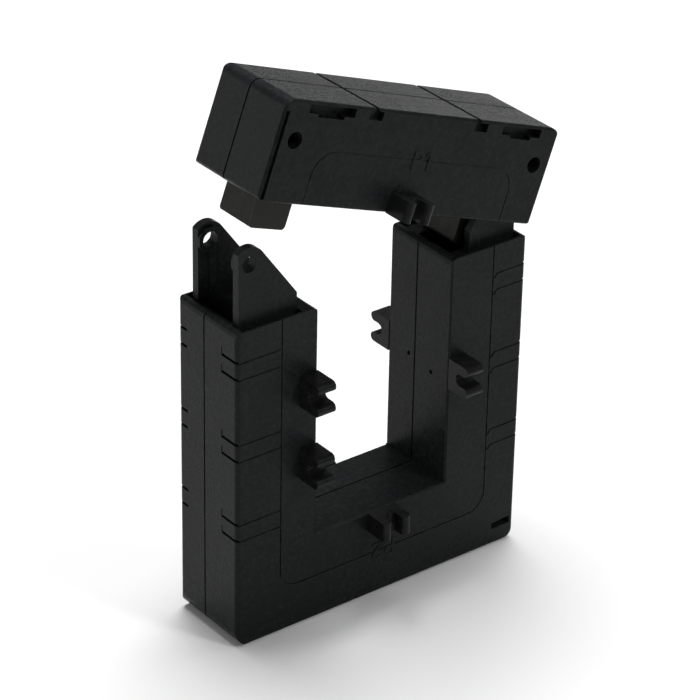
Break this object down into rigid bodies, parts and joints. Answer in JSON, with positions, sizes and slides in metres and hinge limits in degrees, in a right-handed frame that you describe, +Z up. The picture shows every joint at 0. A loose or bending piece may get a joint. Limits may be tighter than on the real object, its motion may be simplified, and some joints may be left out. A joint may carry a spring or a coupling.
{
  "type": "split-core current transformer",
  "caption": "Split-core current transformer: a U-shaped moulded body around a tall window, with its housed yoke swung up on one side, ears for locking screws and notched clips.",
  "frame": {"origin": "centre of the body's flat base", "axes": "+Z up through the window towards the yoke, -Y the marked front face, +X towards the hinge side"},
  "size_m": [0.124, 0.0514, 0.1866],
  "materials": {
    "shell_plastic": "fine satin moulding texture",
    "clip_plastic": "glossy moulding",
    "core_steel": "varnished lamination edges",
    "winding_wire": "enamelled copper",
    "bobbin_plastic": "matt",
    "lead_sleeve": "insulating sleeve",
    "lead_wire": "tinned wire",
    "carrier_plastic": "matt",
    "terminal_brass": "bright",
    "pin_steel": "turned and oiled"
  },
  "bodies": {
    "body": {"body_front_shell": "shell_plastic", "body_rear_shell": "shell_plastic", "lower_core": "core_steel", "bobbin_left": "bobbin_plastic", "bobbin_right": "bobbin_plastic", "winding_left": "winding_wire", "winding_right": "winding_wire", "link_lead": "lead_sleeve", "secondary_leads": "lead_wire", "terminal_carrier": "carrier_plastic", "terminal_pins": "terminal_brass", "clip_front_left_upper": "clip_plastic", "clip_front_left_lower": "clip_plastic", "clip_front_right": "clip_plastic", "clip_front_base": "clip_plastic", "clip_rear_left_upper": "clip_plastic", "clip_rear_left_lower": "clip_plastic", "clip_rear_right": "clip_plastic", "clip_rear_base": "clip_plastic"},
    "pins": {"hinge_pins": "pin_steel"},
    "yoke": {"yoke_front_shell": "shell_plastic", "yoke_rear_shell": "shell_plastic", "yoke_core": "core_steel", "clip_front_yoke": "clip_plastic", "clip_rear_yoke": "clip_plastic"}
  },
  "joints": [
    {"name": "yoke_swing", "type": "hinge", "parent": "body", "child": "pins", "pos_m": [0.0505, 0, 0.1342], "axis": [0, 1, 0], "range_deg": [-20.2, 9.8]},
    {"name": "yoke_lift", "type": "slide", "parent": "pins", "child": "yoke", "axis": [0.8453, 0, 0.5344], "range_m": [-0.0085, 0.0042]}
  ],
  "couplings": [
    {"joint": "yoke_lift", "follows": "yoke_swing", "m_per_rad": 0.023549}
  ]
}
